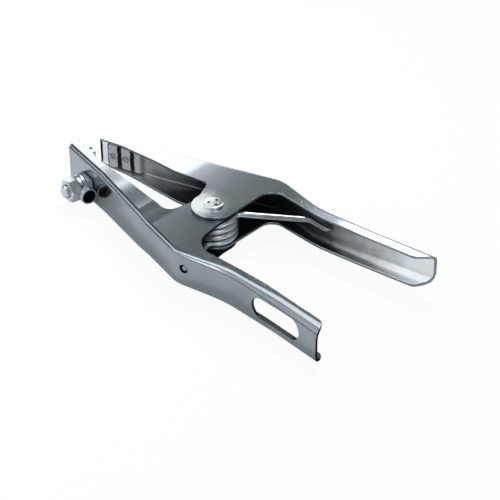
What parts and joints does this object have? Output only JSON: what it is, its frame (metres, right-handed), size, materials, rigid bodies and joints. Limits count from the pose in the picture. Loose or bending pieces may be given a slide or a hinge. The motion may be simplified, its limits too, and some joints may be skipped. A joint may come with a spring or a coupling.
{
  "type": "spring clamp",
  "caption": "Pressed steel spring clamp with two pivoted levers, grooved jaw pads, a torsion spring and a bolted cable lug.",
  "frame": {"origin": "on the pivot axis, at the flat tail face of the pivot rivet on which the clamp lies", "axes": "+Z is the pivot axis, out of the staked head; +X runs from the jaws to the handles; +Y points to the lever whose top ear is outermost"},
  "size_m": [0.2308, 0.0929, 0.0291],
  "materials": {
    "plated_sheet": "bright zinc plated, satin",
    "plated_sheet_outer": "bright zinc plated, satin",
    "rivet_steel": "plated, satin",
    "spring_steel": "plated spring wire",
    "bush_steel": "plain turned steel",
    "pad_metal": "plated, ribbed",
    "bolt_steel": "zinc plated",
    "lug_metal": "tinned"
  },
  "bodies": {
    "terminal_lever": {"lever_a": "plated_sheet", "jaw_pad_a": "pad_metal", "cable_bolt": "bolt_steel", "cable_lug": "lug_metal", "flat_washer": "bolt_steel", "lock_washer": "bolt_steel", "hex_nut": "bolt_steel", "spring_bush": "bush_steel", "torsion_spring": "spring_steel"},
    "free_lever": {"lever_b": "plated_sheet_outer", "jaw_pad_b": "pad_metal", "pad_rivet_b_front": "rivet_steel", "pad_rivet_b_rear": "rivet_steel", "pivot_rivet": "rivet_steel"}
  },
  "joints": [
    {"name": "pivot", "type": "hinge", "parent": "terminal_lever", "child": "free_lever", "pos_m": [0, 0, 0.0151], "axis": [0, 0, -1], "range_deg": [-5, 26], "stiffness_Nm_per_rad": 4, "deforming": ["torsion_spring"]}
  ]
}
